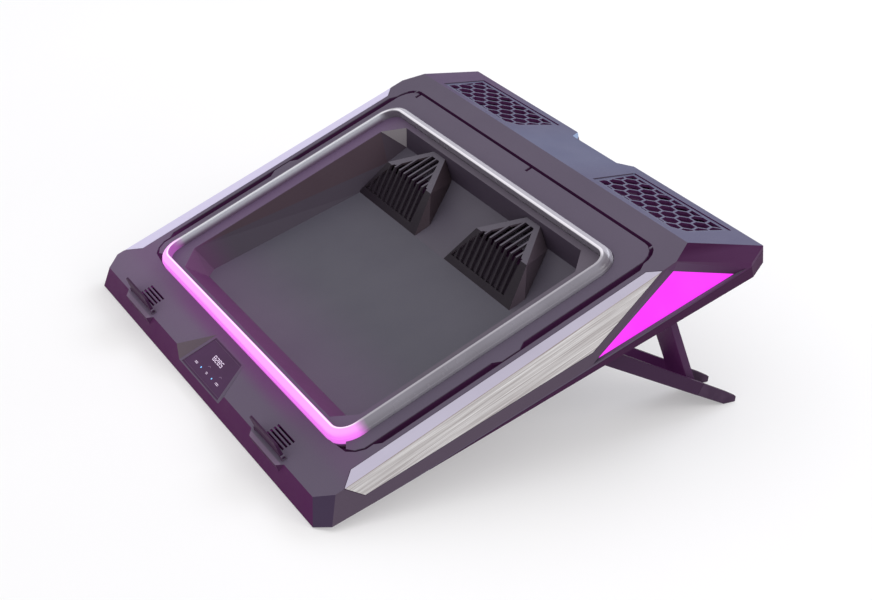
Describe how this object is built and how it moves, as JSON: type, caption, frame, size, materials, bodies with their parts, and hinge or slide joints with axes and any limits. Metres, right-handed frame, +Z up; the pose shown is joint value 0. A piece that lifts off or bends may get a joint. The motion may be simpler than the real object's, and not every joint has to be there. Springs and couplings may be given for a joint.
{
  "type": "laptop cooling pad",
  "caption": "Wedge-shaped laptop stand with a deep air well, blower-fed louvred outlets, a lit ring and side windows, flip-up stoppers and folding rear legs.",
  "frame": {"origin": "centre of the bounding box's footprint, on the table, with the legs out", "axes": "+X to the user's right along the width, +Y from the low front edge to the high rear edge, +Z up"},
  "size_m": [0.4302, 0.3538, 0.1385],
  "materials": {
    "charcoal_plastic": "fine-grained charcoal moulding",
    "dark_plastic": "dark moulded plastic",
    "tray_plastic": "smooth grey-black moulding",
    "ring_diffuser": "milky diffuser, lit pink along the front",
    "lit_lens": "magenta lit diffuser",
    "silver_trim": "satin silver with a brushed grain",
    "touch_panel": "dark gloss panel with lit markings",
    "circuit_board": "green solder mask",
    "plated_steel": "nickel-plated steel",
    "rubber_feet": "soft dark rubber",
    "motor_windings": "stator with copper windings",
    "blower_plastic": "dark impeller plastic"
  },
  "bodies": {
    "pad": {"upper_shell": "charcoal_plastic", "bottom_cover": "dark_plastic", "well_tray": "tray_plastic", "top_plate": "charcoal_plastic", "light_ring": "ring_diffuser", "ring_led_strip": "circuit_board", "control_panel": "touch_panel", "control_board": "circuit_board", "io_board": "circuit_board", "usb_port_right": "plated_steel", "usb_port_middle": "plated_steel", "dc_jack": "dark_plastic", "cover_screw_1": "plated_steel", "cover_screw_2": "plated_steel", "cover_screw_3": "plated_steel", "cover_screw_4": "plated_steel", "side_trim_right": "silver_trim", "window_lens_right": "lit_lens", "window_led_board_right": "circuit_board", "intake_grille_right": "dark_plastic", "outlet_louvre_right": "dark_plastic", "front_foot_right": "rubber_feet", "blower_housing_right": "dark_plastic", "blower_motor_right": "motor_windings", "stopper_pin_right": "plated_steel", "arm_pin_right": "plated_steel", "strut_pin_right": "plated_steel", "side_trim_left": "silver_trim", "window_lens_left": "lit_lens", "window_led_board_left": "circuit_board", "intake_grille_left": "dark_plastic", "outlet_louvre_left": "dark_plastic", "front_foot_left": "rubber_feet", "blower_housing_left": "dark_plastic", "blower_motor_left": "motor_windings", "stopper_pin_left": "plated_steel", "arm_pin_left": "plated_steel", "strut_pin_left": "plated_steel"},
    "impeller_right": {"impeller_right": "blower_plastic"},
    "impeller_left": {"impeller_left": "blower_plastic"},
    "stopper_right": {"stopper_right": "dark_plastic"},
    "stopper_left": {"stopper_left": "dark_plastic"},
    "leg_right": {"leg_arm_right": "charcoal_plastic", "leg_foot_right": "rubber_feet"},
    "leg_left": {"leg_arm_left": "charcoal_plastic", "leg_foot_left": "rubber_feet"},
    "strut_right": {"leg_strut_right": "charcoal_plastic"},
    "strut_left": {"leg_strut_left": "charcoal_plastic"}
  },
  "joints": [
    {"name": "impeller_right_spin", "type": "hinge", "parent": "pad", "child": "impeller_right", "pos_m": [0.0735, 0.11851, 0.10609], "axis": [0, -0.3059, 0.9521], "continuous": true},
    {"name": "stopper_right_fold", "type": "hinge", "parent": "pad", "child": "stopper_right", "pos_m": [0.124, -0.17112, 0.02215], "axis": [-1, 0, 0], "range_deg": [0, 86]},
    {"name": "leg_right_fold", "type": "hinge", "parent": "pad", "child": "leg_right", "pos_m": [0.1785, 0.03799, 0.07424], "axis": [1, 0, 0], "range_deg": [0, 47.5]},
    {"name": "strut_right_fold", "type": "hinge", "parent": "pad", "child": "strut_right", "pos_m": [0.1785, 0.10427, 0.09648], "axis": [1, 0, 0], "range_deg": [0, 87.7]},
    {"name": "impeller_left_spin", "type": "hinge", "parent": "pad", "child": "impeller_left", "pos_m": [-0.0735, 0.11851, 0.10609], "axis": [0, -0.3059, 0.9521], "continuous": true},
    {"name": "stopper_left_fold", "type": "hinge", "parent": "pad", "child": "stopper_left", "pos_m": [-0.124, -0.17112, 0.02215], "axis": [-1, 0, 0], "range_deg": [0, 86]},
    {"name": "leg_left_fold", "type": "hinge", "parent": "pad", "child": "leg_left", "pos_m": [-0.1785, 0.03799, 0.07424], "axis": [1, 0, 0], "range_deg": [0, 47.5]},
    {"name": "strut_left_fold", "type": "hinge", "parent": "pad", "child": "strut_left", "pos_m": [-0.1785, 0.10427, 0.09648], "axis": [1, 0, 0], "range_deg": [0, 87.7]}
  ],
  "couplings": [
    {"joint": "strut_right_fold", "follows": "leg_right_fold", "ratio": 1.8442},
    {"joint": "strut_left_fold", "follows": "leg_left_fold", "ratio": 1.8442}
  ]
}
